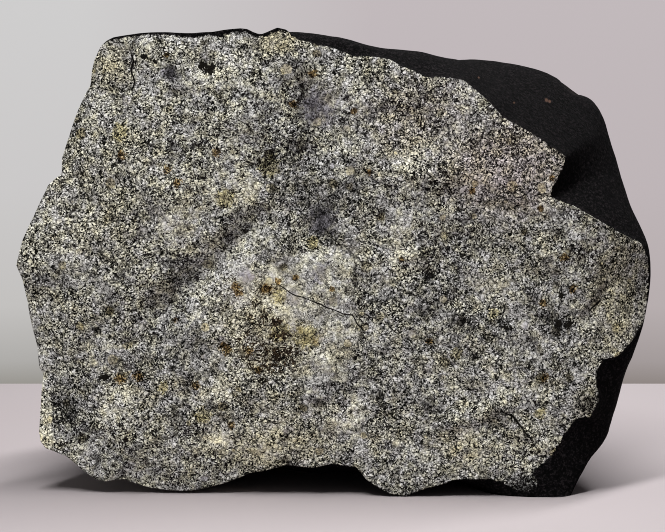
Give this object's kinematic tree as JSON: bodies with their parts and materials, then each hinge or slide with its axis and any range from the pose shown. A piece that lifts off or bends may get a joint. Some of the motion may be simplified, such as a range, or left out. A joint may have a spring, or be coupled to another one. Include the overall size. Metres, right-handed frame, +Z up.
{
  "type": "chondrite meteorite",
  "caption": "Broken chondrite meteorite: one stone with a rough grey speckled break across its front and smooth black fusion crust over the rest, resting on small flat spots.",
  "frame": {"origin": "middle of the bounding box in X and Y, at the surface the stone rests on", "axes": "+X to the right along the broken face, +Y back into the stone from the broken face, +Z up"},
  "size_m": [0.0974, 0.0558, 0.0708],
  "materials": {
    "stone": "matte: rough speckled grey break, black fusion crust on the other sides"
  },
  "bodies": {
    "root": {"meteorite": "stone"}
  },
  "joints": []
}
